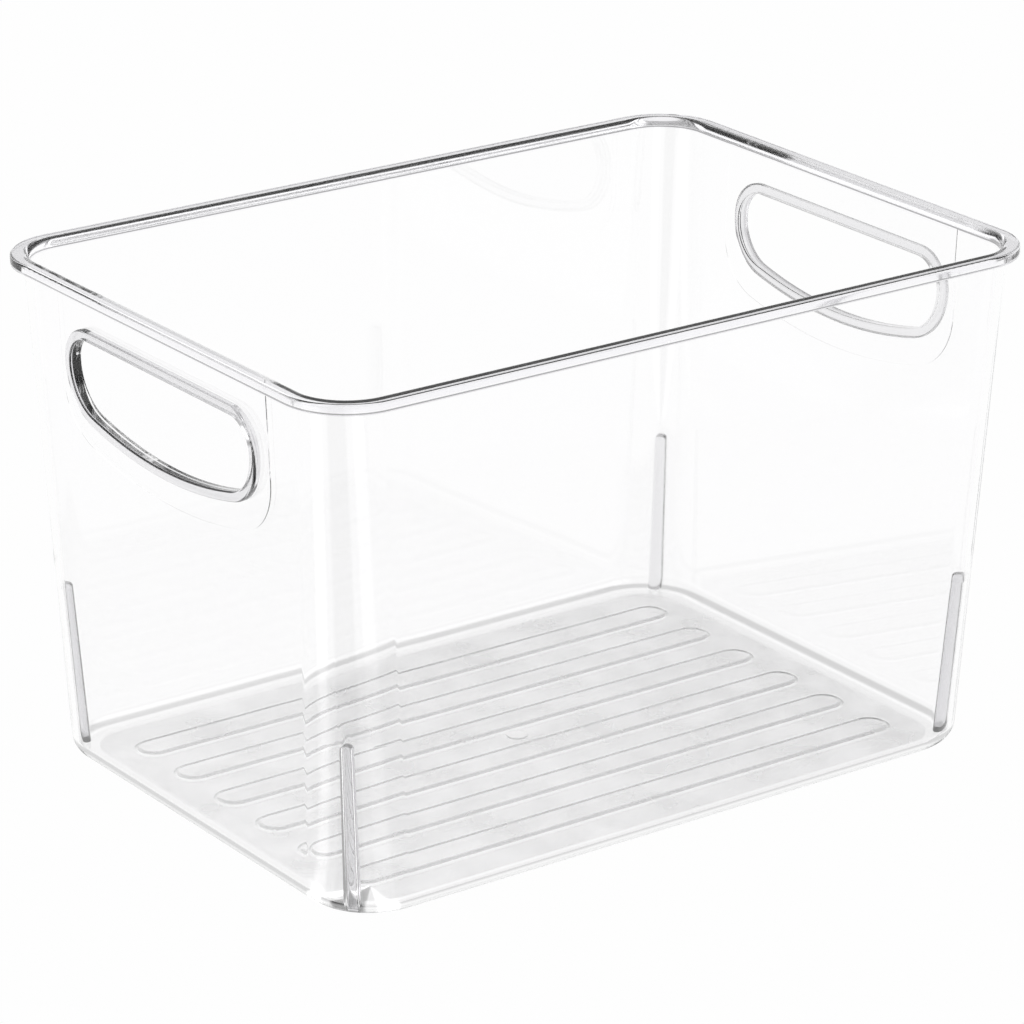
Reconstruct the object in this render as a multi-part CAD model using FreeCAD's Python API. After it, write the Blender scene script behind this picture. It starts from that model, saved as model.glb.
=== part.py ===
import FreeCAD, Part
import math
import os

# A clear fridge bin: one open-topped box with a flared rim, a slot handle in each end wall,
# four nesting ribs in its corners and six long pads on its floor.  The bin is moulded in one
# shot, so each sub-part below is a named region of that moulding.  Neighbours meet face to face.
# Frame: +Z up, X along the long walls, origin at the centre of the underside.  Millimetres.

Vector = FreeCAD.Vector
UP = Vector(0, 0, 1)

# Overall size, measured over the rim
RIM_LENGTH = 254.0
RIM_WIDTH = 179.4
HEIGHT = 157.4

# Walls
WALL_THICKNESS = 2.0
END_WALL_LEAN = 7.6          # how far each end wall leans out between the underside and the top
SIDE_WALL_LEAN = 4.2         # the same for each long wall
BASE_CORNER_RADIUS = 21.4    # upright corners, at the underside

# Rim
RIM_OVERHANG = 3.6           # from the walls' outer face to the rim's outer edge
RIM_DEPTH = 3.3
RIM_CORNER_RADIUS = 20.3
RIM_OUTER_ROUND = 0.8
RIM_UNDER_ROUND = 0.5
RIM_INNER_ROUND = 2.2

# Floor and the curve that joins it to the walls
FLOOR_THICKNESS = 2.0
HEEL_RADIUS = 6.0            # outside of the curve
HEEL_INNER_RADIUS = 4.0
HEEL_HEIGHT = 9.0            # the curve's sub-part ends here and the walls begin
FLOOR_INSET = 9.0            # the flat floor's sub-part ends this far inside the walls

# Where the flat wall panels end and the corner panels begin
LONG_PANEL_HALF = 94.0
END_PANEL_HALF = 60.0

# Slot handles, drawn on the outer face of an end wall, with heights up that face
SLOT_HALF_WIDTH = 47.0
SLOT_TOP = 142.0
SLOT_BOTTOM = 114.5          # at the middle of the bowed lower edge
SLOT_TOP_CORNER = 9.0
SLOT_LOWER_CORNER = 14.0
SLOT_BOW = 150.0             # radius of the bowed lower edge
SLOT_EDGE_ROUND = 0.7        # on the inner face of the wall

# Collar that stands out around each slot
COLLAR_WIDTH = 3.2
COLLAR_PROJECTION = 2.1
COLLAR_OUTER_ROUND = 0.9
COLLAR_INNER_ROUND = 0.6

# Shallow thickened area around each collar, with straight sides up to the rim
SURROUND_HALF_WIDTH = 54.5
SURROUND_BOTTOM = 103.2
SURROUND_CORNER = 19.0
SURROUND_BOW = 165.0
SURROUND_THICKNESS = 0.25

# Nesting ribs, which stop a stacked bin from jamming in the one below
RIB_TOP = 53.5
RIB_TOP_WIDTH = 3.4
RIB_BASE_WIDTH = 4.4
RIB_TOP_REACH = 3.6          # how far the nose stands off the corner's inner face
RIB_BASE_REACH = 4.3
RIB_TOP_ROUND = 1.2
RIB_DIRECTION = 41.0         # degrees from X towards Y, about the corner's centre

# Raised pads on the floor
PAD_COUNT = 6
PAD_PITCH = 22.2
PAD_WIDTH = 13.0
PAD_LENGTH = 198.0
PAD_HEIGHT = 0.4
PAD_SLOPE = 2.2              # how far its edge slopes in on the way up
RECESS_DEPTH = 0.3           # of the hollow under each pad, which keeps the floor evenly thick
RECESS_SLOPE = 1.6

# Mark of the moulding gate, at the middle of the floor
GATE_RADIUS = 3.2
GATE_HEIGHT = 0.4

QUARTER_TURN = 90.0
HALF_TURN = 180.0
FULL_TURN = 360.0
OVERSIZE = 400.0             # reach of a cutting box, larger than the bin
SLOT_CUT_REACH = 8.0         # the slot's cutter passes this far through each face
EXACT = 1e-6                 # two points this near are the same point
LEVEL = 1e-4                 # an edge this flat is level
NEAR = 1e-3                  # an edge this near an outline belongs to it
WALL_HEIGHTS = (HEEL_HEIGHT, HEIGHT - RIM_DEPTH)


def wall_outline(z, inset):
    """Half length, half width and corner radius of the walls at height z, inset from outside."""
    rise = z / HEIGHT
    half_x = RIM_LENGTH / 2 - RIM_OVERHANG - END_WALL_LEAN * (1 - rise)
    half_y = RIM_WIDTH / 2 - RIM_OVERHANG - SIDE_WALL_LEAN * (1 - rise)
    top_radius = RIM_CORNER_RADIUS - RIM_OVERHANG
    radius = BASE_CORNER_RADIUS + (top_radius - BASE_CORNER_RADIUS) * rise
    return half_x - inset, half_y - inset, radius - inset


def arc_edge(centre, radius, start_degrees, end_degrees, z=0.0):
    """A level arc, anticlockwise when the end angle is the larger."""
    points = []
    for degrees in (start_degrees, (start_degrees + end_degrees) / 2, end_degrees):
        angle = math.radians(degrees)
        points.append(Vector(centre[0] + radius * math.cos(angle),
                             centre[1] + radius * math.sin(angle), z))
    return Part.Arc(*points).toShape()


def joined_wire(pieces):
    """Join edges, in order, with straight lines between them, into one closed wire."""
    edges = []
    for index, piece in enumerate(pieces):
        edges.append(piece)
        start = piece.valueAt(piece.LastParameter)
        following = pieces[(index + 1) % len(pieces)]
        end = following.valueAt(following.FirstParameter)
        if start.distanceToPoint(end) > EXACT:
            edges.append(Part.LineSegment(start, end).toShape())
    return Part.Wire(edges)


def rounded_rectangle(half_x, half_y, radius, z):
    """A level rounded rectangle about the origin."""
    arcs = []
    for index, (side_x, side_y) in enumerate(((1, 1), (-1, 1), (-1, -1), (1, -1))):
        centre = (side_x * (half_x - radius), side_y * (half_y - radius))
        start = index * QUARTER_TURN
        arcs.append(arc_edge(centre, radius, start, start + QUARTER_TURN, z))
    return joined_wire(arcs)


def tapered_block(inset, bottom, top):
    """The solid inside the walls' surface, inset from the outside, between two heights."""
    wires = [rounded_rectangle(*wall_outline(z, inset), z) for z in (bottom, top)]
    return Part.makeLoft(wires, True, True)


def edges_at_height(shape, z):
    """The edges of a shape that lie level at height z."""
    def level(edge):
        box = edge.BoundBox
        return abs(box.ZMin - z) < LEVEL and abs(box.ZMax - z) < LEVEL
    return [edge for edge in shape.Edges if level(edge)]


def slab(x_range, y_range, z_range):
    """A box from three (low, high) pairs."""
    size = [high - low for low, high in (x_range, y_range, z_range)]
    return Part.makeBox(*size, Vector(x_range[0], y_range[0], z_range[0]))


def layer(bottom, top):
    """A box wider than the bin between two heights."""
    return slab((-OVERSIZE, OVERSIZE), (-OVERSIZE, OVERSIZE), (bottom, top))


def bin_shell():
    """Walls, floor and the curve between them, before they are parted into regions."""
    outside = tapered_block(0, 0, HEIGHT)
    outside = outside.makeFillet(HEEL_RADIUS, edges_at_height(outside, 0))
    return outside.cut(bin_cavity())


def bin_cavity():
    """The space inside the walls and above the floor."""
    cavity = tapered_block(WALL_THICKNESS, FLOOR_THICKNESS, HEIGHT)
    return cavity.makeFillet(HEEL_INNER_RADIUS, edges_at_height(cavity, FLOOR_THICKNESS))


def floor_core():
    """The upright block that parts the flat floor from the curve around it."""
    wire = rounded_rectangle(*wall_outline(0, FLOOR_INSET), 0)
    return Part.Face(wire).extrude(UP * FLOOR_THICKNESS)


def rim():
    """The flared lip around the top: flat on top, rounded down to the walls' inner face."""
    half_x = RIM_LENGTH / 2
    half_y = RIM_WIDTH / 2
    bottom = HEIGHT - RIM_DEPTH
    outline = rounded_rectangle(half_x, half_y, RIM_CORNER_RADIUS, bottom)
    lip = Part.Face(outline).extrude(UP * RIM_DEPTH)
    lip = lip.makeFillet(RIM_OUTER_ROUND, edges_at_height(lip, HEIGHT))
    lip = lip.makeFillet(RIM_UNDER_ROUND, edges_at_height(lip, bottom))
    lip = lip.cut(tapered_block(WALL_THICKNESS, 0, HEIGHT))
    inner_limit = half_x - RIM_OVERHANG
    inner_edges = [edge for edge in edges_at_height(lip, HEIGHT) if edge.BoundBox.XMax < inner_limit]
    return lip.makeFillet(RIM_INNER_ROUND, inner_edges)


def lower_arcs(half_width, bottom, corner_radius, bow_radius, margin=0.0):
    """The bowed lower edge of a handle outline, between its two corners, from left to right."""
    bow_y = bottom + bow_radius
    corner_x = half_width - corner_radius
    corner_y = bow_y - math.sqrt((bow_radius - corner_radius) ** 2 - corner_x ** 2)
    turn = math.degrees(math.atan2(corner_y - bow_y, corner_x))
    return [
        arc_edge((-corner_x, corner_y), corner_radius + margin, HALF_TURN, HALF_TURN - turn),
        arc_edge((0, bow_y), bow_radius + margin, HALF_TURN - turn, FULL_TURN + turn),
        arc_edge((corner_x, corner_y), corner_radius + margin, turn, 0),
    ]


def slot_wire(margin):
    """The slot's outline, widened by a margin, flat on a plane with Y up the wall."""
    top_x = SLOT_HALF_WIDTH - SLOT_TOP_CORNER
    top_y = SLOT_TOP - SLOT_TOP_CORNER
    radius = SLOT_TOP_CORNER + margin
    upper = [arc_edge((top_x, top_y), radius, 0, QUARTER_TURN),
             arc_edge((-top_x, top_y), radius, QUARTER_TURN, HALF_TURN)]
    lower = lower_arcs(SLOT_HALF_WIDTH, SLOT_BOTTOM, SLOT_LOWER_CORNER, SLOT_BOW, margin)
    return joined_wire(upper + lower)


def slot_face(margin):
    """The slot as a flat face, widened by a margin."""
    return Part.Face(slot_wire(margin))


def surround_face():
    """The surround as a flat face, which runs on above the rim."""
    top = HEIGHT + RIM_DEPTH
    top_edge = Part.LineSegment(Vector(SURROUND_HALF_WIDTH, top), Vector(-SURROUND_HALF_WIDTH, top))
    lower = lower_arcs(SURROUND_HALF_WIDTH, SURROUND_BOTTOM, SURROUND_CORNER, SURROUND_BOW)
    return Part.Face(joined_wire([top_edge.toShape()] + lower))


def end_wall_placement(side):
    """Puts a shape drawn flat, Y up the wall and Z outwards, on an end wall's outer face."""
    lean = math.degrees(math.atan2(END_WALL_LEAN, HEIGHT))
    stood_up = FreeCAD.Rotation(Vector(1, 0, 0), QUARTER_TURN)
    upright = FreeCAD.Rotation(UP, QUARTER_TURN).multiply(stood_up)
    leaning = FreeCAD.Rotation(Vector(0, 1, 0), lean).multiply(upright)
    placement = FreeCAD.Placement(Vector(wall_outline(0, 0)[0], 0, 0), leaning)
    if side < 0:
        turned = FreeCAD.Placement(Vector(0, 0, 0), FreeCAD.Rotation(UP, HALF_TURN))
        placement = turned.multiply(placement)
    return placement


def moved(shape, placement):
    """A copy of a shape, moved by a placement."""
    copy = shape.copy()
    copy.Placement = placement.multiply(copy.Placement)
    return copy


def slot_edges(shape, height, margin):
    """The edges that run around the slot at one height off the drawing plane, a margin out."""
    outline = slot_wire(margin)
    outline.translate(UP * height)

    def on_outline(edge):
        middle = edge.valueAt((edge.FirstParameter + edge.LastParameter) / 2)
        return outline.distToShape(Part.Vertex(middle))[0] < NEAR
    return [edge for edge in edges_at_height(shape, height) if on_outline(edge)]


def long_wall(shell, side):
    """One of the two long flat walls, between the corner panels."""
    y_range = sorted((0, side * OVERSIZE))
    return shell.common(slab((-LONG_PANEL_HALF, LONG_PANEL_HALF), y_range, WALL_HEIGHTS))


def end_wall(shell, side):
    """One of the two end walls, with its slot, whose inner edge is rounded."""
    x_range = sorted((0, side * OVERSIZE))
    panel = shell.common(slab(x_range, (-END_PANEL_HALF, END_PANEL_HALF), WALL_HEIGHTS))
    placement = end_wall_placement(side)
    flat = moved(panel, placement.inverse())
    cutter = slot_face(0).extrude(UP * 2 * SLOT_CUT_REACH)
    cutter.translate(UP * -SLOT_CUT_REACH)
    flat = flat.cut(cutter)
    lean = math.atan2(END_WALL_LEAN, HEIGHT)
    inner_face = -WALL_THICKNESS * math.cos(lean)
    edges = slot_edges(flat, inner_face, 0)
    return moved(flat.makeFillet(SLOT_EDGE_ROUND, edges), placement)


def corner(shell, side_x, side_y):
    """One upright corner, with the flat strip on each side of its curve."""
    x_range = sorted((side_x * LONG_PANEL_HALF, side_x * OVERSIZE))
    y_range = sorted((side_y * END_PANEL_HALF, side_y * OVERSIZE))
    return shell.common(slab(x_range, y_range, WALL_HEIGHTS))


def handle_collar(side):
    """The collar that stands out around a slot."""
    ring = slot_face(COLLAR_WIDTH).cut(slot_face(0))
    collar = ring.extrude(UP * COLLAR_PROJECTION)
    for margin, radius in ((0, COLLAR_INNER_ROUND), (COLLAR_WIDTH, COLLAR_OUTER_ROUND)):
        collar = collar.makeFillet(radius, slot_edges(collar, COLLAR_PROJECTION, margin))
    return moved(collar, end_wall_placement(side))


def handle_surround(side):
    """The shallow thickened area around a collar, cut off level where the rim begins."""
    area = surround_face().cut(slot_face(COLLAR_WIDTH)).extrude(UP * SURROUND_THICKNESS)
    return moved(area, end_wall_placement(side)).common(layer(0, WALL_HEIGHTS[1]))


def rib_section(z, side_x, side_y):
    """A rib's level section: a flat-sided tongue with a half-round nose."""
    share = z / RIB_TOP
    width = RIB_BASE_WIDTH + (RIB_TOP_WIDTH - RIB_BASE_WIDTH) * share
    reach = RIB_BASE_REACH + (RIB_TOP_REACH - RIB_BASE_REACH) * share
    half_x, half_y, radius = wall_outline(z, WALL_THICKNESS)
    centre = Vector(side_x * (half_x - radius), side_y * (half_y - radius), z)
    angle = math.radians(RIB_DIRECTION)
    outward = Vector(side_x * math.cos(angle), side_y * math.sin(angle), 0)
    sideways = Vector(-outward.y, outward.x, 0)
    nose = centre + outward * (radius - reach + width / 2)
    back = centre + outward * (radius + WALL_THICKNESS / 2)
    left = sideways * (width / 2)
    round_end = Part.Arc(nose + left, nose - outward * (width / 2), nose - left).toShape()
    straight = Part.makePolygon([nose - left, back - left, back + left, nose + left])
    return Part.Wire([round_end] + straight.Edges)


def nesting_rib(cavity, side_x, side_y):
    """A tapered upright rib in a corner, standing on the floor."""
    sections = [rib_section(z, side_x, side_y) for z in (0, RIB_TOP)]
    rib = Part.makeLoft(sections, True, True)
    rib = rib.makeFillet(RIB_TOP_ROUND, edges_at_height(rib, RIB_TOP))
    return rib.common(cavity)


def pad_wire(y, radius, z):
    """A pad's outline at height z."""
    straight = (PAD_LENGTH - PAD_WIDTH) / 2
    ends = [arc_edge((side * straight, y), radius, start, start + HALF_TURN, z)
            for side, start in ((1, -QUARTER_TURN), (-1, QUARTER_TURN))]
    return joined_wire(ends)


def floor_pad(y, z, height, slope):
    """One long round-ended pad, standing at height z, with a gently sloping edge."""
    base = pad_wire(y, PAD_WIDTH / 2, z)
    crown = pad_wire(y, PAD_WIDTH / 2 - slope, z + height)
    return Part.makeLoft([base, crown], True, True)


def pad_row(z, height, slope):
    """All the pads, evenly spaced across the floor."""
    first = -PAD_PITCH * (PAD_COUNT - 1) / 2
    return Part.makeCompound([floor_pad(first + PAD_PITCH * index, z, height, slope)
                              for index in range(PAD_COUNT)])


def floor_plate():
    """The flat floor, with a shallow hollow in its underside below each pad."""
    return floor_core().cut(pad_row(0, RECESS_DEPTH, RECESS_SLOPE))


def gate_mark():
    """The low disc left where the plastic entered the mould."""
    return Part.makeCylinder(GATE_RADIUS, GATE_HEIGHT, Vector(0, 0, FLOOR_THICKNESS))


def build_nodes():
    """Every sub-part by name."""
    shell = bin_shell()
    cavity = bin_cavity()
    core = floor_core()
    nodes = {
        "floor_plate": floor_plate(),
        "heel_curve": shell.common(layer(0, HEEL_HEIGHT)).cut(core),
        "front_wall": long_wall(shell, -1),
        "rear_wall": long_wall(shell, 1),
        "rim_lip": rim(),
        "floor_pads": pad_row(FLOOR_THICKNESS, PAD_HEIGHT, PAD_SLOPE),
        "gate_mark": gate_mark(),
    }
    for side, name in ((-1, "left"), (1, "right")):
        nodes[name + "_end_wall"] = end_wall(shell, side)
        nodes[name + "_handle_collar"] = handle_collar(side)
        nodes[name + "_handle_surround"] = handle_surround(side)
        for side_y, place in ((-1, "front"), (1, "rear")):
            nodes[place + "_" + name + "_corner"] = corner(shell, side, side_y)
            nodes[place + "_" + name + "_rib"] = nesting_rib(cavity, side, side_y)
    return nodes


def main():
    """Write each sub-part to its own file and print a line about it."""
    os.makedirs("parts", exist_ok=True)
    for name, shape in build_nodes().items():
        shape.exportStep("parts/" + name + ".step")
        print(name, "solids:", len(shape.Solids), "valid:", shape.isValid(), "mm3:", round(shape.Volume))


main()
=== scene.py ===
import math
from collections import namedtuple

import bmesh
import bpy
from mathutils import Matrix, Vector
from mathutils.geometry import delaunay_2d_cdt


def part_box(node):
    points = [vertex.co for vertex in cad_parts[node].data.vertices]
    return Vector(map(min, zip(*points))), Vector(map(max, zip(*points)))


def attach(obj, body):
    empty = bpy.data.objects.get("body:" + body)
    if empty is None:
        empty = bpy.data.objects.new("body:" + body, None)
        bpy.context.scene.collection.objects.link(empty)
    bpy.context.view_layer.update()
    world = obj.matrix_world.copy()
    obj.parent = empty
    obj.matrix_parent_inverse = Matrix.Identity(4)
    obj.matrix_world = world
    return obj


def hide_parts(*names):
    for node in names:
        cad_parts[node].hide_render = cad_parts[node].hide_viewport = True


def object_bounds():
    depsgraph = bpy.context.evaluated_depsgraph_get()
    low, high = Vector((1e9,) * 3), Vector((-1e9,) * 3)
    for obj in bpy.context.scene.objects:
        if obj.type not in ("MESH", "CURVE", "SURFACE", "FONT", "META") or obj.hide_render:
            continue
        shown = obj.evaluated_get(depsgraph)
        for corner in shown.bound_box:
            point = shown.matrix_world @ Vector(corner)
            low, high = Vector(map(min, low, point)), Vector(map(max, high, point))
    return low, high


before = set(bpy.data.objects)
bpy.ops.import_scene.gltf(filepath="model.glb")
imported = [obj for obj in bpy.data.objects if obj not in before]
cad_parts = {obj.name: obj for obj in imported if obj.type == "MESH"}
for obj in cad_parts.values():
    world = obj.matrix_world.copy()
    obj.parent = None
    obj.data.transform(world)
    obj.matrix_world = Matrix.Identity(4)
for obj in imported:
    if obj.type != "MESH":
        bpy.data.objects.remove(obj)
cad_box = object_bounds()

# A clear fridge bin, moulded in one shot.  Each CAD node is replaced by a piece of the same shape
# with finer curves.  Where two pieces meet inside the plastic, both carry the unseen joint
# material, so that light passes as it does through one moulding.  Metres, +Z up.

# Sizes read from the frame
HEIGHT = cad_box[1].z
RIM_HALF_X = cad_box[1].x
WALL_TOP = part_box("rim_lip")[0].z
HEEL_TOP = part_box("heel_curve")[1].z
FLOOR_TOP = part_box("floor_plate")[1].z
PANEL_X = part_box("front_wall")[1].x
PANEL_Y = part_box("left_end_wall")[1].y
HEEL_TOP_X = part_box("heel_curve")[1].x
HEEL_TOP_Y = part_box("heel_curve")[1].y
WALL_TOP_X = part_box("right_end_wall")[1].x
WALL_TOP_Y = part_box("rear_wall")[1].y
RIB_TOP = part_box("front_left_rib")[1].z
PAD_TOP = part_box("floor_pads")[1].z
PAD_HALF_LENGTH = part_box("floor_pads")[1].x
PAD_EDGE_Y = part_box("floor_pads")[1].y
GATE_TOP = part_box("gate_mark")[1].z
GATE_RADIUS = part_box("gate_mark")[1].x

# Sizes that the frame's boxes don't give
WALL = 0.002
BASE_CORNER_RADIUS = 0.0214
RIM_CORNER_RADIUS = 0.0203
FLOOR_INSET = 0.009
HEEL_RADIUS = 0.006
HEEL_INNER_RADIUS = 0.004
RIM_OUTER_ROUND = 0.0008
RIM_UNDER_ROUND = 0.0005
RIM_INNER_ROUND = 0.0022
SLOT_HALF_WIDTH = 0.047
SLOT_TOP = 0.142
SLOT_BOTTOM = 0.1145
SLOT_TOP_CORNER = 0.009
SLOT_LOWER_CORNER = 0.014
SLOT_BOW = 0.150
SLOT_EDGE_ROUND = 0.0007
COLLAR_WIDTH = 0.0032
COLLAR_PROJECTION = 0.0021
COLLAR_OUTER_ROUND = 0.0009
COLLAR_INNER_ROUND = 0.0006
SURROUND_HALF_WIDTH = 0.0545
SURROUND_BOTTOM = 0.1032
SURROUND_CORNER = 0.019
SURROUND_BOW = 0.165
SURROUND_THICKNESS = 0.00025
RIB_TOP_WIDTH = 0.0034
RIB_BASE_WIDTH = 0.0044
RIB_TOP_REACH = 0.0036
RIB_BASE_REACH = 0.0043
RIB_TOP_ROUND = 0.0012
RIB_DIRECTION = math.radians(41.0)
PAD_COUNT = 6
PAD_WIDTH = 0.013
PAD_SLOPE = 0.0022
RECESS_DEPTH = 0.0003
RECESS_SLOPE = 0.0016
GATE_ROUND = 0.0001

# How finely curves are cut
FIRST_STEPS = 14             # stations of a corner before, across and after its rib
RIB_STEPS = 8
LAST_STEPS = 14
PLAIN_RIB_ANGLE = math.radians(6.0)
PLAIN_WALL_LEVEL = 0.062     # above here a corner's stations ignore the rib
HEEL_STEPS = 12
ROUND_STEPS = 8
SMALL_ROUND_STEPS = 5
SLOT_CORNER_STEPS = 14
BOW_STEPS = 28
NOSE_STEPS = 9
SOLVING_ROUNDS = 12
PAD_END_STEPS = 20
PAD_SLOPE_STEPS = 12
CIRCLE_STEPS = 48
SAME_POINT = 1e-6
SHARP_ANGLE = math.radians(32.0)

QUARTER = math.pi / 2
PLASTIC, JOINT = 0, 1
OPEN, INSIDE, UNDER_RIB, UNDER_RIM = "open", "inside", "under rib", "under rim"

WALL_LEAN_X = (WALL_TOP_X - HEEL_TOP_X) / (WALL_TOP - HEEL_TOP)
WALL_LEAN_Y = (WALL_TOP_Y - HEEL_TOP_Y) / (WALL_TOP - HEEL_TOP)
LEAN = math.atan(WALL_LEAN_X)
BASE_HALF_X = HEEL_TOP_X - WALL_LEAN_X * HEEL_TOP
RIM_OVERHANG = RIM_HALF_X - BASE_HALF_X - WALL_LEAN_X * HEIGHT
INNER_FACE = -WALL * math.cos(LEAN)
PAD_RADIUS = PAD_WIDTH / 2
PAD_PITCH = 2 * (PAD_EDGE_Y - PAD_RADIUS) / (PAD_COUNT - 1)
HEEL_CENTRE = WALL + HEEL_INNER_RADIUS     # inset and height of the inner curve's centre

# The camera; its shifts move it sideways and up from where it would look at the bin's middle
CAMERA_AZIMUTH = math.radians(-35.916)
CAMERA_ELEVATION = math.radians(20.899)
CAMERA_ROLL = math.radians(0.212)
CAMERA_DISTANCE = 1.43783
CAMERA_SHIFT_RIGHT = -0.00122
CAMERA_SHIFT_UP = -0.00424
CAMERA_LENS = 169.79         # lens and sensor in millimetres
CAMERA_SENSOR = 36.0

# The plastic
REFRACTION = 1.57
HAZE_SCALE = 60.0            # patches of haze per metre, and how finely they break up
HAZE_DETAIL = 3.0
HAZE_NOISE = (0.3, 0.7)      # the noise that gives the least and the most haze
WAVE_SCALE = 25.0
WAVE_DETAIL = 1.0
WAVE_HEIGHT = 0.0004

# The plastic by region: colour, range of roughness, and strength of the waves.  Ribs and collars
# are greyer in colour, as painted shade for the darkness that light bent inside them gives; the
# rim is a little greyer too, also painted shade.  The rim and the floor are hazier.
PLASTICS = {
    "moulded_clear": ((0.999, 0.998, 1.0), (0.01, 0.03), 0.15),
    # the rim: the same plastic made a little greyer, as painted shade
    "moulded_rim": ((0.95, 0.945, 0.965), (0.06, 0.10), 0.15),
    "moulded_base": ((0.995, 0.994, 0.998), (0.16, 0.30), 0.4),
    # ribs and collars: the same plastic made greyer, as painted shade
    "moulded_thick_painted_shade": ((0.70, 0.695, 0.715), (0.03, 0.06), 0.15),
}

WHITE = 0.991                # of the stage and the backdrop
STAGE_RADIUS = 30.0
STAGE_SEGMENTS = 64
STAGE_Z = -0.0005            # just below the bin, so that the two don't share a plane
# Shade of the stage around the bin's base, which only the plastic sees: distance inside the
# base's outline, grey
CONTACT_SHADE = ((BASE_CORNER_RADIUS, 1.0), (0.003, 1.0), (0.001, 0.65), (-0.002, 0.65), (-0.004, 1.0))
# Sectors of the stage about the near corner, seen only by light that the plastic has reflected
# or bent: azimuth, half size and fade in degrees, strength
FLOOR_GLINTS = ((174.0, 6.0, 5.0, 0.9), (254.0, 8.0, 5.0, 0.45), (213.0, 14.0, 6.0, -0.6))

# The studio, which only the plastic sees: grey by elevation in degrees, white near the horizon
STUDIO_GREYS = ((0.0, 1.0), (4.0, 0.98), (10.0, 0.6), (16.0, 0.4), (30.0, 0.4), (40.0, 0.5),
                (70.0, 0.6), (90.0, 0.6))
# Its soft lights: azimuth, elevation, half size and fade in degrees, strength
SOFTBOXES = (
    (67.0, 39.0, 9.0, 10.0, 0.85),
    (315.0, 48.0, 16.0, 14.0, 0.85),
    (285.0, 38.0, 10.0, 10.0, 0.7),
)

LIGHT_BOUNCES = 32
JOINT_CROSSINGS = 64         # how many unseen faces a ray may cross

# One point of a section through the moulding.  The inset is measured in from the walls' outside
# at the height "level", and rib_angle is half the angle that a rib takes up at this point.
Spot = namedtuple("Spot", "inset z level rib_angle cover")

# One point of a drawn outline, on an arc, so that a margin only adds to the radius.
Turn = namedtuple("Turn", "a b radius angle")


def spot(inset, z, cover=OPEN, level=None, rib_angle=PLAIN_RIB_ANGLE):
    """A point of a section; the cover says what hides the surface from here to the next point."""
    return Spot(inset, z, z if level is None else level, rib_angle, cover)


def shares(steps):
    """Even steps from 0 to 1."""
    return [step / steps for step in range(steps + 1)]


# ---- the walls' outline ----

def half_x(z):
    """Half the outside length of the walls at height z."""
    return BASE_HALF_X + WALL_LEAN_X * z


def half_y(z):
    """Half the outside width of the walls at height z."""
    return HEEL_TOP_Y + WALL_LEAN_Y * (z - HEEL_TOP)


def corner_radius(z):
    """Outside radius of an upright corner at height z."""
    top_radius = RIM_CORNER_RADIUS - RIM_OVERHANG
    return BASE_CORNER_RADIUS + (top_radius - BASE_CORNER_RADIUS) * z / HEIGHT


def corner_place(sides, angle, inset, z, level):
    """A point about a corner's centre, at an angle from X towards Y."""
    radius = corner_radius(level)
    x = half_x(level) - radius + (radius - inset) * math.cos(angle)
    y = half_y(level) - radius + (radius - inset) * math.sin(angle)
    return Vector((sides[0] * x, sides[1] * y, z))


def corner_angle(step, rib_angle):
    """The angle of one station of a corner; the middle stations span its rib."""
    low = RIB_DIRECTION - rib_angle
    high = RIB_DIRECTION + rib_angle
    if step <= FIRST_STEPS:
        return low * step / FIRST_STEPS
    if step <= FIRST_STEPS + RIB_STEPS:
        return low + (high - low) * (step - FIRST_STEPS) / RIB_STEPS
    return high + (QUARTER - high) * (step - FIRST_STEPS - RIB_STEPS) / LAST_STEPS


# A station is a function that places a spot, with the cover of the strip up to the next station.

def corner_station(sides, step, cover):
    def place(point):
        angle = corner_angle(step, point.rib_angle)
        return corner_place(sides, angle, point.inset, point.z, point.level)
    return place, cover


def end_station(side, y, cover=OPEN):
    def place(point):
        return Vector((side * (half_x(point.level) - point.inset), y, point.z))
    return place, cover


def long_station(side, x):
    def place(point):
        return Vector((x, side * (half_y(point.level) - point.inset), point.z))
    return place, OPEN


def corner_stations(sides, towards_long_wall):
    """The stations of one corner, between its end wall and its long wall."""
    count = FIRST_STEPS + RIB_STEPS + LAST_STEPS
    order = list(range(count + 1))
    if not towards_long_wall:
        order.reverse()
    stations = []
    for step, following in zip(order, order[1:] + [None]):
        low = step if following is None else min(step, following)
        at_rib = following is not None and FIRST_STEPS <= low < FIRST_STEPS + RIB_STEPS
        stations.append(corner_station(sides, step, UNDER_RIB if at_rib else OPEN))
    return stations


def ring_stations():
    """Stations all round the bin, anticlockwise from the rear right corner."""
    stations = corner_stations((1, 1), True) + corner_stations((-1, 1), False)
    stations.append(end_station(-1, SURROUND_HALF_WIDTH, UNDER_RIM))
    stations.append(end_station(-1, -SURROUND_HALF_WIDTH))
    stations += corner_stations((-1, -1), True) + corner_stations((1, -1), False)
    stations.append(end_station(1, -SURROUND_HALF_WIDTH, UNDER_RIM))
    stations.append(end_station(1, SURROUND_HALF_WIDTH))
    return stations


# ---- mesh building ----

def add_face(mesh, points, slot=PLASTIC):
    """One face with corners of its own; make_piece joins the corners that meet."""
    corners = [mesh.verts.new(point) for point in points]
    mesh.faces.new(corners).material_index = slot


def sweep(mesh, section, stations, closed):
    """Skin a closed section carried through stations, with unseen ends where it isn't a ring."""
    rings = [[place(point) for point in section] for place, cover in stations]
    covers = [cover for place, cover in stations]
    count = len(rings) if closed else len(rings) - 1
    for step in range(count):
        here = rings[step]
        there = rings[(step + 1) % len(rings)]
        for index, point in enumerate(section):
            following = (index + 1) % len(section)
            hidden = point.cover == INSIDE or (point.cover != OPEN and point.cover == covers[step])
            corners = (here[index], here[following], there[following], there[index])
            add_face(mesh, corners, JOINT if hidden else PLASTIC)
    if not closed:
        add_face(mesh, rings[0], JOINT)
        add_face(mesh, rings[-1], JOINT)


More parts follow.
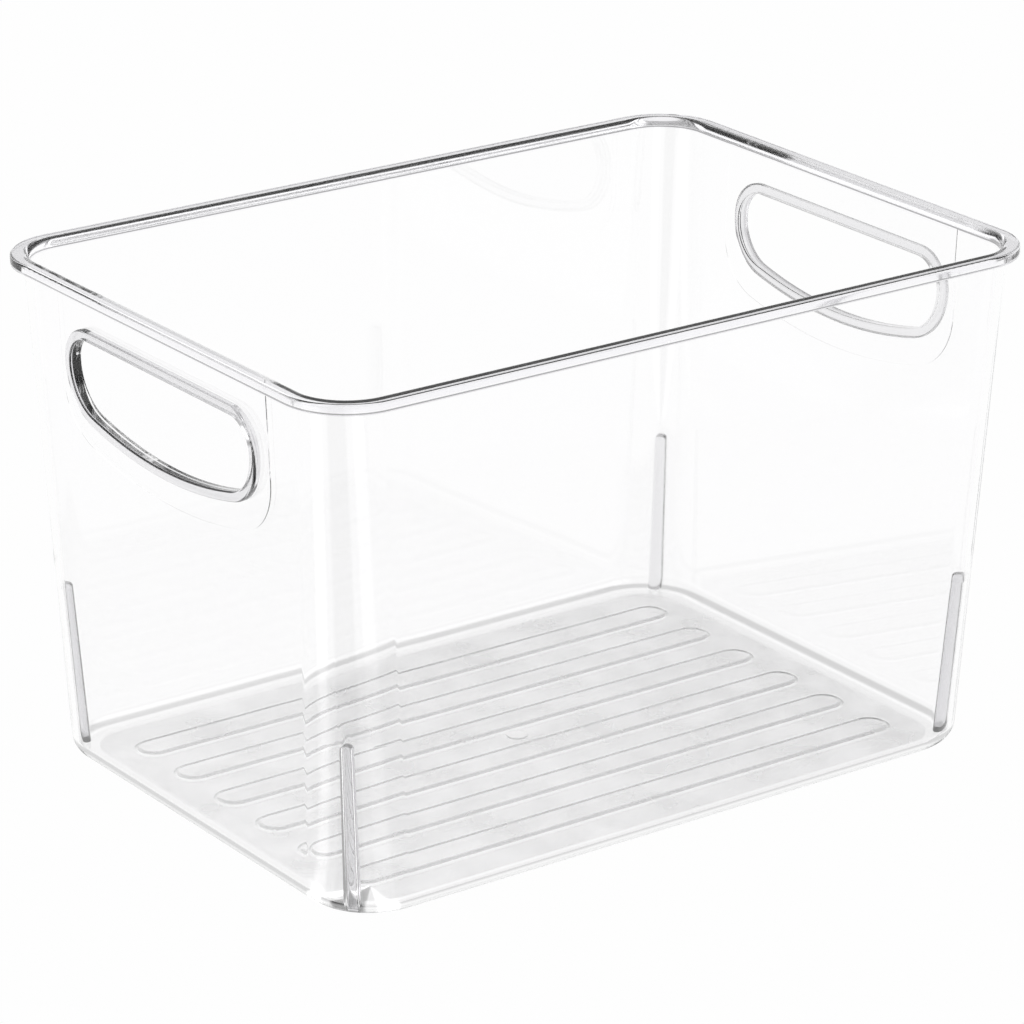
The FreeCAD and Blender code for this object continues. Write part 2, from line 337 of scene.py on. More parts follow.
def skin_outline(mesh, outline, section, place, closed=True):
    """Carry an open section of (margin, height, cover) points round a drawn outline."""
    rows = [[place(*turn_point(turn, margin), height) for margin, height, cover in section]
            for turn in outline]
    count = len(rows) if closed else len(rows) - 1
    for step in range(count):
        here = rows[step]
        there = rows[(step + 1) % len(rows)]
        for index in range(len(section) - 1):
            corners = (here[index], here[index + 1], there[index + 1], there[index])
            add_face(mesh, corners, JOINT if section[index][2] == INSIDE else PLASTIC)


def fill_flat(mesh, closed_loops, open_loops, place, height, slot_at):
    """Fill a flat area crossed by loops; slot_at gives a triangle's slot, or None for a hole."""
    points = []
    edges = []
    for loop in closed_loops + open_loops:
        first = len(points)
        points += [Vector(point) for point in loop]
        edges += [(index, index + 1) for index in range(first, len(points) - 1)]
        if loop in closed_loops:
            edges.append((len(points) - 1, first))
    corners, _, triangles, *_ = delaunay_2d_cdt(points, edges, [], 0, SAME_POINT)
    for triangle in triangles:
        flat = [corners[index] for index in triangle]
        slot = slot_at(sum(flat, Vector((0, 0))) / len(flat))
        if slot is not None:
            add_face(mesh, [place(point.x, point.y, height) for point in flat], slot)


def inside(point, loop):
    """Whether a flat point lies inside a closed loop."""
    found = False
    for index, (x, y) in enumerate(loop):
        last_x, last_y = loop[index - 1]
        if (y > point.y) != (last_y > point.y):
            crossing = x + (point.y - y) * (last_x - x) / (last_y - y)
            if point.x < crossing:
                found = not found
    return found


def make_piece(mesh, node, plastic="moulded_clear"):
    """Finish a mesh as the visible piece that stands for a CAD node."""
    bmesh.ops.remove_doubles(mesh, verts=mesh.verts, dist=SAME_POINT)
    bmesh.ops.recalc_face_normals(mesh, faces=mesh.faces)
    name = node + "_clear"
    data = bpy.data.meshes.new(name)
    mesh.to_mesh(data)
    mesh.free()
    data.materials.append(bpy.data.materials[plastic])
    data.materials.append(bpy.data.materials["moulding_joint"])
    data.shade_smooth()
    data.set_sharp_from_angle(angle=SHARP_ANGLE)
    piece = bpy.data.objects.new(name, data)
    bpy.context.scene.collection.objects.link(piece)
    flats = piece.modifiers.new("flats", "WEIGHTED_NORMAL")
    flats.keep_sharp = True
    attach(piece, "root")
    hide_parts(node)
    return piece


# ---- outlines drawn with arcs ----

def turn_point(turn, margin=0.0):
    """The flat point of an outline at a margin outside it."""
    radius = turn.radius + margin
    return turn.a + radius * math.cos(turn.angle), turn.b + radius * math.sin(turn.angle)


def arc(a, b, radius, start, end, steps):
    """An arc as outline points."""
    return [Turn(a, b, radius, start + (end - start) * share) for share in shares(steps)]


def lower_outline(half_width, bottom, corner, bow):
    """The bowed lower edge of a handle outline, from left to right."""
    bow_b = bottom + bow
    corner_a = half_width - corner
    corner_b = bow_b - math.sqrt((bow - corner) ** 2 - corner_a ** 2)
    tilt = math.atan2(corner_b - bow_b, corner_a)
    left = arc(-corner_a, corner_b, corner, math.pi, math.pi - tilt, SLOT_CORNER_STEPS)
    middle = arc(0, bow_b, bow, math.pi - tilt, 2 * math.pi + tilt, BOW_STEPS)
    right = arc(corner_a, corner_b, corner, tilt, 0, SLOT_CORNER_STEPS)
    return left + middle[1:-1] + right


def slot_outline():
    """The handle slot, anticlockwise."""
    a = SLOT_HALF_WIDTH - SLOT_TOP_CORNER
    b = SLOT_TOP - SLOT_TOP_CORNER
    right = arc(a, b, SLOT_TOP_CORNER, 0, QUARTER, SLOT_CORNER_STEPS)
    left = arc(-a, b, SLOT_TOP_CORNER, QUARTER, 2 * QUARTER, SLOT_CORNER_STEPS)
    return right + left + lower_outline(SLOT_HALF_WIDTH, SLOT_BOTTOM, SLOT_LOWER_CORNER, SLOT_BOW)


def surround_outline():
    """The surround's lower edge, from left to right, without its straight sides."""
    return lower_outline(SURROUND_HALF_WIDTH, SURROUND_BOTTOM, SURROUND_CORNER, SURROUND_BOW)


def flat_loop(outline, margin=0.0):
    return [turn_point(turn, margin) for turn in outline]


def wall_place(side):
    """Places a drawing on an end wall: a across, b up the outer face, c out of it."""
    def place(a, b, c):
        x = BASE_HALF_X + b * math.sin(LEAN) + c * math.cos(LEAN)
        return Vector((side * x, side * a, b * math.cos(LEAN) - c * math.sin(LEAN)))
    return place


def wall_b(z, c):
    """How far up an end wall's drawing height z lies, at c out of it."""
    return (z + c * math.sin(LEAN)) / math.cos(LEAN)


def level_place(a, b, c):
    return Vector((a, b, c))


def round_section(margin, height, radius, margin_way, height_way, steps, cover=OPEN):
    """A quarter round from a side, at this margin, to a face, at this height."""
    points = []
    for share in shares(steps):
        angle = share * QUARTER
        points.append((margin + margin_way * radius * (1 - math.cos(angle)),
                       height - height_way * radius * (1 - math.sin(angle)), cover))
    return points


# ---- ribs, whose feet the corners and the heel share ----

def rib_width(z):
    return RIB_BASE_WIDTH + (RIB_TOP_WIDTH - RIB_BASE_WIDTH) * z / RIB_TOP


def rib_reach(z):
    return RIB_BASE_REACH + (RIB_TOP_REACH - RIB_BASE_REACH) * z / RIB_TOP


def heel_inset(z):
    """How far in the cavity's surface stands at height z, at or above the floor."""
    if z >= HEEL_CENTRE:
        return WALL
    return HEEL_CENTRE - math.sqrt(max(0.0, HEEL_INNER_RADIUS ** 2 - (HEEL_CENTRE - z) ** 2))


def heel_height(inset):
    """Height of the heel's inner surface at an inset."""
    if inset >= HEEL_CENTRE:
        return FLOOR_TOP
    return HEEL_CENTRE - math.sqrt(HEEL_INNER_RADIUS ** 2 - (HEEL_CENTRE - inset) ** 2)


def nose_point(turn, z, shrink=0.0):
    """Inset and angle off the rib's middle of a point of its half-round nose."""
    radius = rib_width(z) / 2 - shrink
    centre = corner_radius(z) - WALL - rib_reach(z) + rib_width(z) / 2
    along = centre - radius * math.cos(turn)
    across = radius * math.sin(turn)
    return corner_radius(z) - math.hypot(along, across), math.atan2(across, along)


def nose_foot(turn):
    """Where one line of the rib's nose meets the heel."""
    z = FLOOR_TOP
    for _ in range(SOLVING_ROUNDS):
        inset, angle = nose_point(turn, z)
        z = heel_height(inset)
    return spot(inset, z, UNDER_RIB, rib_angle=angle)


def side_foot(z, shrink=0.0):
    """Where the rib's flat side meets the corner or the heel at height z."""
    inset = heel_inset(z)
    angle = math.asin((rib_width(z) / 2 - shrink) / (corner_radius(z) - inset))
    return spot(inset, z, UNDER_RIB, rib_angle=angle)


def rib_levels():
    """Heights down a rib, each with how far its rounded top draws the sides in."""
    levels = []
    for share in reversed(shares(SMALL_ROUND_STEPS)):
        angle = share * QUARTER
        z = RIB_TOP - RIB_TOP_ROUND * (1 - math.sin(angle))
        levels.append((z, RIB_TOP_ROUND * (1 - math.cos(angle))))
    levels += [(HEEL_TOP, 0.0), (HEEL_CENTRE, 0.0)]
    last = nose_foot(QUARTER).z
    turn = math.asin((HEEL_CENTRE - last) / HEEL_INNER_RADIUS)
    for share in shares(ROUND_STEPS)[1:]:
        levels.append((HEEL_CENTRE - HEEL_INNER_RADIUS * math.sin(share * turn), 0.0))
    return levels


def nose_feet():
    """The feet of the nose's lines, from its side to its tip."""
    return [nose_foot(QUARTER * share) for share in reversed(shares(NOSE_STEPS))]


def rib_feet():
    """The whole edge of a rib's foot, from its top down and out to the tip of its nose."""
    sides = [side_foot(z, shrink) for z, shrink in rib_levels()]
    return sides[:-1] + nose_feet()


def rib_place(sides):
    def place(inset, z, angle):
        return corner_place(sides, RIB_DIRECTION + angle, inset, z, z)
    return place


def build_rib_back(mesh, sides):
    """The unseen face where the rib grows out of the corner and the heel."""
    feet = rib_feet()
    place = rib_place(sides)
    for above, below in zip(feet, feet[1:]):
        for step in range(RIB_STEPS):
            low = 2 * step / RIB_STEPS - 1
            high = 2 * (step + 1) / RIB_STEPS - 1
            corners = [place(foot.inset, foot.z, foot.rib_angle * share)
                       for foot, share in ((above, low), (above, high), (below, high), (below, low))]
            add_face(mesh, corners, JOINT)


def rib_lines(sides):
    """The lines that run down a rib's front: foot, nose from side to side, foot."""
    place = rib_place(sides)
    levels = rib_levels()
    turns = [QUARTER * share for share in shares(NOSE_STEPS)]
    turns = [-turn for turn in reversed(turns)] + turns[1:]
    lines = []
    for turn in turns:
        line = []
        for z, shrink in levels:
            inset, angle = nose_point(turn, z, shrink)
            line.append(place(inset, z, angle))
        foot = nose_foot(turn)
        line.append(place(foot.inset, foot.z, foot.rib_angle))
        lines.append(line)
    for side in (-1, 1):
        feet = [side_foot(z, shrink) for z, shrink in levels]
        line = [place(foot.inset, foot.z, side * foot.rib_angle) for foot in feet]
        line.append(line[-1])
        if side < 0:
            lines.insert(0, line)
        else:
            lines.append(line)
    return lines


def build_rib(node, sides):
    """A nesting rib: rounded top, flat sides, half-round nose, and its foot on the heel."""
    mesh = bmesh.new()
    build_rib_back(mesh, sides)
    lines = rib_lines(sides)
    for here, there in zip(lines, lines[1:]):
        for index in range(len(here) - 1):
            add_face(mesh, (here[index], here[index + 1], there[index + 1], there[index]))
    top = side_foot(*rib_levels()[0])
    place = rib_place(sides)
    back = [place(top.inset, top.z, top.rib_angle * (1 - 2 * share)) for share in shares(RIB_STEPS)]
    add_face(mesh, [line[0] for line in lines] + back[1:-1])
    # the rib takes the greyer plastic, whose grey is painted shade
    return make_piece(mesh, node, "moulded_thick_painted_shade")


# ---- walls, heel, rim and floor ----

def build_long_wall(node, side):
    """A long flat wall."""
    mesh = bmesh.new()
    section = [spot(0, HEEL_TOP), spot(0, WALL_TOP, INSIDE), spot(WALL, WALL_TOP),
               spot(WALL, HEEL_TOP, INSIDE)]
    sweep(mesh, section, [long_station(side, -PANEL_X), long_station(side, PANEL_X)], False)
    return make_piece(mesh, node)


def build_corner(node, sides):
    """An upright corner with the flat strips beside it; the rib's foot is unseen."""
    mesh = bmesh.new()
    foot = [point for point in rib_feet() if point.z > HEEL_TOP - SAME_POINT]
    last = foot.pop()
    section = [spot(0, HEEL_TOP), spot(0, WALL_TOP, INSIDE), spot(WALL, WALL_TOP),
               spot(WALL, PLAIN_WALL_LEVEL)] + foot + [last._replace(cover=INSIDE)]
    stations = [end_station(sides[0], sides[1] * PANEL_Y)]
    stations += corner_stations(sides, True)
    stations.append(long_station(sides[1], sides[0] * PANEL_X))
    sweep(mesh, section, stations, False)
    return make_piece(mesh, node)


def build_heel():
    """The rounded curve between floor and walls, all round."""
    mesh = bmesh.new()
    section = [spot(FLOOR_INSET, 0)]
    for share in shares(HEEL_STEPS):
        angle = share * QUARTER
        inset = HEEL_RADIUS * (1 - math.sin(angle))
        section.append(spot(inset, HEEL_RADIUS * (1 - math.cos(angle))))
    section.append(spot(0, HEEL_TOP, INSIDE))
    feet = [point for point in rib_feet() if point.z < HEEL_TOP + SAME_POINT]
    section += feet[:-1] + [feet[-1]._replace(cover=OPEN)]
    section.append(spot(FLOOR_INSET, FLOOR_TOP, INSIDE, level=0))
    sweep(mesh, section, ring_stations(), True)
    return make_piece(mesh, "heel_curve")


def build_rim():
    """The flared lip, flat on top, all round."""
    mesh = bmesh.new()
    inner = []
    for share in shares(ROUND_STEPS):
        angle = share * QUARTER
        inset = WALL - RIM_INNER_ROUND * (1 - math.cos(angle))
        inner.append(spot(inset, HEIGHT - RIM_INNER_ROUND * (1 - math.sin(angle))))
    outer = []
    for share in shares(SMALL_ROUND_STEPS):
        angle = share * QUARTER
        inset = RIM_OUTER_ROUND * (1 - math.sin(angle)) - RIM_OVERHANG
        z = HEIGHT - RIM_OUTER_ROUND * (1 - math.cos(angle))
        outer.append(spot(inset, z, level=HEIGHT))
    for share in shares(SMALL_ROUND_STEPS):
        angle = share * QUARTER
        inset = RIM_UNDER_ROUND * (1 - math.cos(angle)) - RIM_OVERHANG
        z = WALL_TOP + RIM_UNDER_ROUND * (1 - math.sin(angle))
        outer.append(spot(inset, z, level=HEIGHT))
    strip = spot(-SURROUND_THICKNESS / math.cos(LEAN), WALL_TOP, UNDER_RIM)
    section = [spot(WALL, WALL_TOP)] + inner + outer + [strip, spot(0, WALL_TOP, INSIDE)]
    sweep(mesh, section, ring_stations(), True)
    # the rim's plastic is a little greyer, as painted shade
    return make_piece(mesh, "rim_lip", "moulded_rim")


def pad_outlines():
    """The outline of each floor pad."""
    reach = PAD_HALF_LENGTH - PAD_RADIUS
    outlines = []
    for index in range(PAD_COUNT):
        y = (index - (PAD_COUNT - 1) / 2) * PAD_PITCH
        right = arc(reach, y, PAD_RADIUS, -QUARTER, QUARTER, PAD_END_STEPS)
        left = arc(-reach, y, PAD_RADIUS, QUARTER, 3 * QUARTER, PAD_END_STEPS)
        outlines.append(right + left)
    return outlines


def gate_outline():
    return arc(0, 0, GATE_RADIUS, 0, 4 * QUARTER, CIRCLE_STEPS)[:-1]


def slope_section(foot, rise, slope):
    """An edge that eases out of one level and into another, inside an outline."""
    return [(-slope * share, foot + rise * (1 - math.cos(share * math.pi)) / 2, OPEN)
            for share in shares(PAD_SLOPE_STEPS)]


def build_floor():
    """The flat floor, hollowed below each pad; its top is unseen under pads and gate mark."""
    mesh = bmesh.new()
    edge = [place(spot(FLOOR_INSET, 0)) for place, cover in ring_stations()]
    border = [(point.x, point.y) for point in edge]
    pads = [flat_loop(outline) for outline in pad_outlines()]
    raised = pads + [flat_loop(gate_outline())]

    def top_slot(point):
        return JOINT if any(inside(point, loop) for loop in raised) else PLASTIC

    def underside_slot(point):
        return None if any(inside(point, loop) for loop in pads) else PLASTIC
    fill_flat(mesh, [border] + raised, [], level_place, FLOOR_TOP, top_slot)
    fill_flat(mesh, [border] + pads, [], level_place, 0.0, underside_slot)
    for outline in pad_outlines():
        skin_outline(mesh, outline, slope_section(0.0, RECESS_DEPTH, RECESS_SLOPE), level_place)
        ceiling = [level_place(*turn_point(turn, -RECESS_SLOPE), RECESS_DEPTH) for turn in outline]
        add_face(mesh, ceiling)
    for (x, y), (next_x, next_y) in zip(border, border[1:] + border[:1]):
        corners = [(x, y, 0), (next_x, next_y, 0), (next_x, next_y, FLOOR_TOP), (x, y, FLOOR_TOP)]
        add_face(mesh, corners, JOINT)
    return make_piece(mesh, "floor_plate", "moulded_base")


def add_raised(mesh, outline, section):
    """A low raised shape on the floor, whose edge follows a section from the floor to its top."""
    skin_outline(mesh, outline, section, level_place)
    base = [level_place(*turn_point(turn), FLOOR_TOP) for turn in outline]
    crown = [level_place(*turn_point(turn, section[-1][0]), section[-1][1]) for turn in outline]
    add_face(mesh, base, JOINT)
    add_face(mesh, crown)


def build_pads():
    """Six long round-ended pads."""
    mesh = bmesh.new()
    for outline in pad_outlines():
        add_raised(mesh, outline, slope_section(FLOOR_TOP, PAD_TOP - FLOOR_TOP, PAD_SLOPE))
    return make_piece(mesh, "floor_pads", "moulded_base")


def build_gate_mark():
    """The low disc at the middle of the floor."""
    mesh = bmesh.new()
    section = [(0.0, FLOOR_TOP, OPEN)]
    section += round_section(0.0, GATE_TOP, GATE_ROUND, -1, 1, SMALL_ROUND_STEPS)
    add_raised(mesh, gate_outline(), section)
    return make_piece(mesh, "gate_mark")


# ---- end walls and their handles ----

def build_end_wall(node, side):
    """An end wall with its slot; its outer face is unseen under the surround and the collar."""
    mesh = bmesh.new()
    place = wall_place(side)
    slot = slot_outline()
    low = wall_b(HEEL_TOP, 0.0)
    high = wall_b(WALL_TOP, 0.0)
    top_edge = [(PANEL_Y, high), (SURROUND_HALF_WIDTH, high), (-SURROUND_HALF_WIDTH, high),
                (-PANEL_Y, high)]
    surround = [top_edge[2]] + flat_loop(surround_outline()) + [top_edge[1]]
    slot_loop = flat_loop(slot)

    def outer_slot(point):
        if inside(point, slot_loop):
            return None
        return JOINT if inside(point, surround) else PLASTIC
    border = [(-PANEL_Y, low), (PANEL_Y, low)] + top_edge
    fill_flat(mesh, [border, slot_loop], [surround], place, 0.0, outer_slot)

    inner_low = wall_b(HEEL_TOP, INNER_FACE)
    inner_high = wall_b(WALL_TOP, INNER_FACE)
    inner_border = [(-PANEL_Y, inner_low), (PANEL_Y, inner_low), (PANEL_Y, inner_high),
                    (-PANEL_Y, inner_high)]
    wide_slot = flat_loop(slot, SLOT_EDGE_ROUND)
    fill_flat(mesh, [inner_border, wide_slot], [], place, INNER_FACE,
              lambda point: None if inside(point, wide_slot) else PLASTIC)

    section = [(0.0, 0.0, OPEN)]
    section += round_section(0.0, INNER_FACE, SLOT_EDGE_ROUND, 1, -1, SMALL_ROUND_STEPS)
    skin_outline(mesh, slot, section, place)

    outer = [place(*point, 0.0) for point in border]
    inner = [place(*point, INNER_FACE) for point in inner_border]
    add_face(mesh, (outer[0], outer[1], inner[1], inner[0]), JOINT)
    add_face(mesh, (outer[1], outer[2], inner[2], inner[1]), JOINT)
    add_face(mesh, outer[2:] + [inner[3], inner[2]], JOINT)
    add_face(mesh, (outer[5], outer[0], inner[0], inner[3]), JOINT)
    return make_piece(mesh, node)


def build_collar(node, side):
    """The collar that stands out around a slot."""
    mesh = bmesh.new()
    inner = round_section(0.0, COLLAR_PROJECTION, COLLAR_INNER_ROUND, 1, 1, SMALL_ROUND_STEPS)
    outer = round_section(COLLAR_WIDTH, COLLAR_PROJECTION, COLLAR_OUTER_ROUND, -1, 1,
                          SMALL_ROUND_STEPS)
    section = [(0.0, 0.0, OPEN)] + inner + outer[::-1]
    section += [(COLLAR_WIDTH, SURROUND_THICKNESS, INSIDE), (COLLAR_WIDTH, 0.0, INSIDE),
                (0.0, 0.0, INSIDE)]
    skin_outline(mesh, slot_outline(), section, wall_place(side))
    # the collar takes the greyer plastic, whose grey is painted shade
    return make_piece(mesh, node, "moulded_thick_painted_shade")


def build_surround(node, side):
    """The shallow thickened area around a collar, up to the rim."""
    mesh = bmesh.new()
    place = wall_place(side)
    hole = flat_loop(slot_outline(), COLLAR_WIDTH)
    lower = flat_loop(surround_outline())
    borders = []
    for height, slot in ((0.0, JOINT), (SURROUND_THICKNESS, PLASTIC)):
        top = wall_b(WALL_TOP, height)
        border = [(-SURROUND_HALF_WIDTH, top)] + lower + [(SURROUND_HALF_WIDTH, top)]
        fill_flat(mesh, [border, hole], [], place, height,
                  lambda point: None if inside(point, hole) or not inside(point, border) else slot)
        borders.append([place(*point, height) for point in border])
    base, face = borders
    for index in range(len(base)):
        following = (index + 1) % len(base)
        corners = (base[index], base[following], face[following], face[index])
        add_face(mesh, corners, JOINT if following == 0 else PLASTIC)
    section = [(COLLAR_WIDTH, 0.0, INSIDE), (COLLAR_WIDTH, SURROUND_THICKNESS, INSIDE)]
    skin_outline(mesh, slot_outline(), section, place)
    return make_piece(mesh, node)


# ---- node helpers ----

def new_material(name):
    """An empty material and its output."""
    material = bpy.data.materials.new(name)
    material.use_nodes = True
    tree = material.node_tree
    tree.nodes.clear()
    return material, tree, tree.nodes.new("ShaderNodeOutputMaterial")


def link(tree, source, output, target, socket):
    tree.links.new(source.outputs[output], target.inputs[socket])


def math_step(tree, operation, first, second=None):
    """A math node fed by one or two (node, output) pairs."""
    node = tree.nodes.new("ShaderNodeMath")
    node.operation = operation
    link(tree, *first, node, 0)
    if second is not None:
        link(tree, *second, node, 1)
    return node


def vector_step(tree, operation, first, constant=None):
    """A vector math node fed by a (node, output) pair and, if there is one, a constant."""
    node = tree.nodes.new("ShaderNodeVectorMath")
    node.operation = operation
    link(tree, *first, node, 0)
    if constant is not None:
        node.inputs[1].default_value = constant
    return node


def sum_up(tree, terms):
    """The sum of (node, output) pairs, as a pair."""
    total = terms[0]
    for term in terms[1:]:
        total = (math_step(tree, "ADD", total, term), "Value")
    return total


def grey_ramp(tree, source, output, stops, wide):
    """A grey ramp over a value; the stops are (value, grey) pairs, with values from 0 to wide."""
    ramp = tree.nodes.new("ShaderNodeValToRGB")
    scale = tree.nodes.new("ShaderNodeMapRange")
    scale.inputs["From Max"].default_value = wide
    link(tree, source, output, scale, "Value")
    link(tree, scale, "Result", ramp, "Fac")
    elements = ramp.color_ramp.elements
    while len(elements) < len(stops):
        elements.new(0.5)
    for element, (value, grey) in zip(elements, stops):
        element.position = value / wide
        element.color = (grey, grey, grey, 1.0)
    return ramp


def soft_cone(tree, direction, towards, size, fade, strength):
    """Strength within an angle of a direction, easing to nothing across the fade; degrees."""
    facing = vector_step(tree, "DOT_PRODUCT", (direction, "Vector"), towards)
    fall = tree.nodes.new("ShaderNodeMapRange")
    fall.interpolation_type = "SMOOTHSTEP"
    fall.inputs["From Min"].default_value = math.cos(math.radians(size + fade))
    fall.inputs["From Max"].default_value = math.cos(math.radians(size))
    fall.inputs["To Max"].default_value = strength
    link(tree, facing, "Value", fall, "Value")
    return fall, "Result"


def heading(azimuth, elevation=0.0):
    """The direction at these angles, in degrees, with azimuth from X towards Y."""
    azimuth = math.radians(azimuth)
    elevation = math.radians(elevation)
    return (math.cos(azimuth) * math.cos(elevation), math.sin(azimuth) * math.cos(elevation),
            math.sin(elevation))


def glow(tree, kind, strength=None):
    """A white emission or background; its strength is a (node, output) pair, or plain white."""
    node = tree.nodes.new(kind)
    node.inputs["Color"].default_value = (1.0, 1.0, 1.0, 1.0)
    node.inputs["Strength"].default_value = WHITE
    if strength is not None:
        link(tree, *strength, node, "Strength")
    return node


def plain_to_camera(tree, kind, seen, strength, output):
    """Plain white where the camera looks straight at it; the plastic sees this strength."""
    choice = tree.nodes.new("ShaderNodeMixShader")
    link(tree, seen, "Is Camera Ray", choice, "Fac")
    link(tree, glow(tree, kind, strength), 0, choice, 1)
    link(tree, glow(tree, kind), 0, choice, 2)
    link(tree, choice, "Shader", output, "Surface")


# ---- materials ----

def noise(tree, coordinates, scale, detail):
    """A noise texture in metres."""
    node = tree.nodes.new("ShaderNodeTexNoise")
    node.inputs["Scale"].default_value = scale
    node.inputs["Detail"].default_value = detail
    link(tree, coordinates, "Object", node, "Vector")
    return node


def make_clear_plastic(name, colour, haze_range, wave_strength):
    """Clear moulded plastic in a given colour, with slow waves from the mould and faint haze; a grey
    colour is painted shade.
    """
    material, tree, output = new_material(name)
    shader = tree.nodes.new("ShaderNodeBsdfPrincipled")
    shader.inputs["Base Color"].default_value = (*colour, 1.0)
    shader.inputs["IOR"].default_value = REFRACTION
    shader.inputs["Transmission Weight"].default_value = 1.0
    link(tree, shader, "BSDF", output, "Surface")

    coordinates = tree.nodes.new("ShaderNodeTexCoord")
    haze = noise(tree, coordinates, HAZE_SCALE, HAZE_DETAIL)
    roughness = tree.nodes.new("ShaderNodeMapRange")
    roughness.inputs["From Min"].default_value = HAZE_NOISE[0]
    roughness.inputs["From Max"].default_value = HAZE_NOISE[1]
    roughness.inputs["To Min"].default_value = haze_range[0]
    roughness.inputs["To Max"].default_value = haze_range[1]
    link(tree, haze, "Fac", roughness, "Value")
    link(tree, roughness, "Result", shader, "Roughness")

    waves = noise(tree, coordinates, WAVE_SCALE, WAVE_DETAIL)
    bump = tree.nodes.new("ShaderNodeBump")
    bump.inputs["Strength"].default_value = wave_strength
    bump.inputs["Distance"].default_value = WAVE_HEIGHT
    link(tree, waves, "Fac", bump, "Height")
    link(tree, bump, "Normal", shader, "Normal")


def make_joint():
    """The faces where two pieces of the moulding meet, which can't be seen."""
    material, tree, output = new_material("moulding_joint")
    shader = tree.nodes.new("ShaderNodeBsdfTransparent")
    link(tree, shader, "BSDF", output, "Surface")


# ---- stage, light and camera ----

def contact_shade(tree, level):
    """The stage's grey by distance from the base's outline, measured about its corners."""
    mirrored = vector_step(tree, "ABSOLUTE", (level, "Vector"))
    corner = (half_x(0) - BASE_CORNER_RADIUS, half_y(0) - BASE_CORNER_RADIUS, 0.0)
    beyond = vector_step(tree, "SUBTRACT", (mirrored, "Vector"), corner)
    outside = vector_step(tree, "MAXIMUM", (beyond, "Vector"), (0.0, 0.0, 0.0))
    distance = vector_step(tree, "LENGTH", (outside, "Vector"))
    stops = [(BASE_CORNER_RADIUS - depth, grey * WHITE) for depth, grey in CONTACT_SHADE]
    return grey_ramp(tree, distance, "Value", stops, 2 * BASE_CORNER_RADIUS), "Color"


def corner_glints(tree, level, seen):
    """Lighter and darker sectors about the near corner, which only the plastic sees."""
    corner = (BASE_CORNER_RADIUS - half_x(0), BASE_CORNER_RADIUS - half_y(0), 0.0)
    from_corner = vector_step(tree, "SUBTRACT", (level, "Vector"), corner)
    bearing = vector_step(tree, "NORMALIZE", (from_corner, "Vector"))
    glints = [soft_cone(tree, bearing, heading(azimuth), size, fade, strength)
              for azimuth, size, fade, strength in FLOOR_GLINTS]
    reflected = math_step(tree, "MULTIPLY", sum_up(tree, glints), (seen, "Is Glossy Ray"))
    return reflected, "Value"


def make_stage():
    """A floor that is plain white to the camera; the plastic sees shade and glints on it."""
    material, tree, output = new_material("stage_white")
    place = tree.nodes.new("ShaderNodeNewGeometry")
    level = vector_step(tree, "MULTIPLY", (place, "Position"), (1.0, 1.0, 0.0))
    seen = tree.nodes.new("ShaderNodeLightPath")
    strength = sum_up(tree, [contact_shade(tree, level), corner_glints(tree, level, seen)])
    plain_to_camera(tree, "ShaderNodeEmission", seen, strength, output)

    mesh = bmesh.new()
    bmesh.ops.create_circle(mesh, cap_ends=True, segments=STAGE_SEGMENTS, radius=STAGE_RADIUS)
    data = bpy.data.meshes.new("stage_floor")
    mesh.to_mesh(data)
    mesh.free()
    data.materials.append(material)
    floor = bpy.data.objects.new("stage_floor", data)
    floor.location.z = STAGE_Z
    bpy.context.scene.collection.objects.link(floor)


def make_world():
    """White all round behind the bin, and a grey studio overhead that only the plastic sees."""
    world = bpy.data.worlds.new("studio")
    bpy.context.scene.world = world
    world.use_nodes = True
    tree = world.node_tree
    tree.nodes.clear()
    output = tree.nodes.new("ShaderNodeOutputWorld")
    coordinates = tree.nodes.new("ShaderNodeTexCoord")
    direction = vector_step(tree, "NORMALIZE", (coordinates, "Generated"))
    parts = tree.nodes.new("ShaderNodeSeparateXYZ")
    link(tree, direction, "Vector", parts, "Vector")
    rise = math_step(tree, "ARCSINE", (parts, "Z"))
    stops = [(math.radians(elevation), grey) for elevation, grey in STUDIO_GREYS]
    room = grey_ramp(tree, rise, "Value", stops, QUARTER)
    lights = [soft_cone(tree, direction, heading(azimuth, elevation), size, fade, strength)
              for azimuth, elevation, size, fade, strength in SOFTBOXES]
    seen = tree.nodes.new("ShaderNodeLightPath")
    strength = sum_up(tree, [(room, "Color")] + lights)
    plain_to_camera(tree, "ShaderNodeBackground", seen, strength, output)


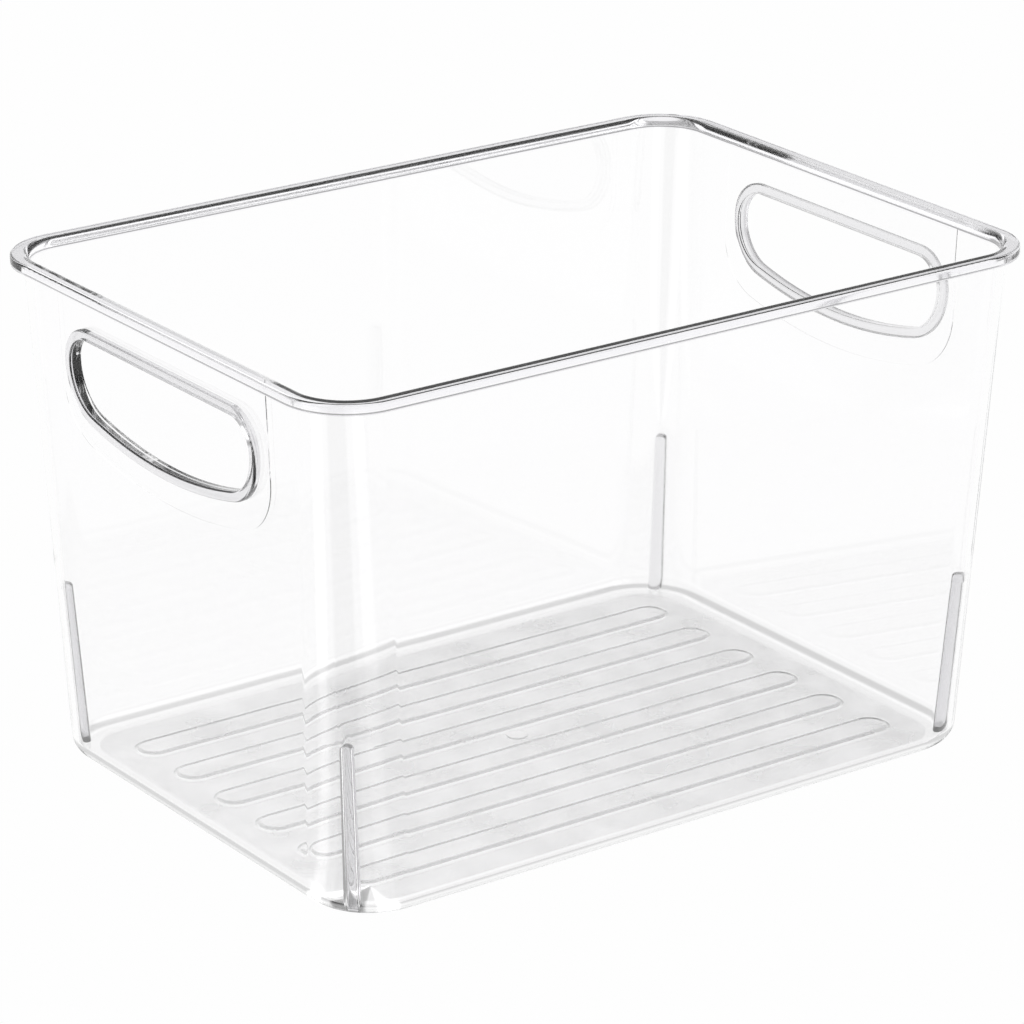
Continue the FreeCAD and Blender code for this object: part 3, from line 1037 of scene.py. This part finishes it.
def make_camera():
    """The camera, to the front left of the bin and above it."""
    azimuth = CAMERA_AZIMUTH
    back = Vector((math.sin(azimuth) * math.cos(CAMERA_ELEVATION),
                   -math.cos(azimuth) * math.cos(CAMERA_ELEVATION), math.sin(CAMERA_ELEVATION)))
    level = Vector((math.cos(azimuth), math.sin(azimuth), 0.0))
    upright = back.cross(level)
    right = math.cos(CAMERA_ROLL) * level + math.sin(CAMERA_ROLL) * upright
    up = math.cos(CAMERA_ROLL) * upright - math.sin(CAMERA_ROLL) * level
    middle = Vector((0.0, 0.0, HEIGHT / 2))
    data = bpy.data.cameras.new("camera")
    data.sensor_width = CAMERA_SENSOR
    data.lens = CAMERA_LENS
    camera = bpy.data.objects.new("camera", data)
    turned = Matrix((right, up, back)).transposed().to_4x4()
    place = middle + back * CAMERA_DISTANCE + right * CAMERA_SHIFT_RIGHT + up * CAMERA_SHIFT_UP
    camera.matrix_world = Matrix.Translation(place) @ turned
    bpy.context.scene.collection.objects.link(camera)
    bpy.context.scene.camera = camera


def set_view():
    """Plain colour, and enough bounces for light to cross the whole bin."""
    scene = bpy.context.scene
    scene.view_settings.view_transform = "Standard"
    scene.cycles.max_bounces = LIGHT_BOUNCES
    scene.cycles.transmission_bounces = LIGHT_BOUNCES
    scene.cycles.glossy_bounces = LIGHT_BOUNCES
    scene.cycles.transparent_max_bounces = JOINT_CROSSINGS
    scene.cycles.caustics_reflective = True
    scene.cycles.caustics_refractive = True
    scene.cycles.use_denoising = True


# ---- the bin ----

def build_bin():
    build_floor()
    build_heel()
    build_rim()
    build_pads()
    build_gate_mark()
    for side, place in ((-1, "front"), (1, "rear")):
        build_long_wall(place + "_wall", side)
    for side_x, name in ((-1, "left"), (1, "right")):
        build_end_wall(name + "_end_wall", side_x)
        build_collar(name + "_handle_collar", side_x)
        build_surround(name + "_handle_surround", side_x)
        for side_y, place in ((-1, "front"), (1, "rear")):
            build_corner(place + "_" + name + "_corner", (side_x, side_y))
            build_rib(place + "_" + name + "_rib", (side_x, side_y))


for plastic_name, (colour, haze_range, wave_strength) in PLASTICS.items():
    make_clear_plastic(plastic_name, colour, haze_range, wave_strength)
make_joint()
build_bin()
make_stage()
make_world()
make_camera()
set_view()
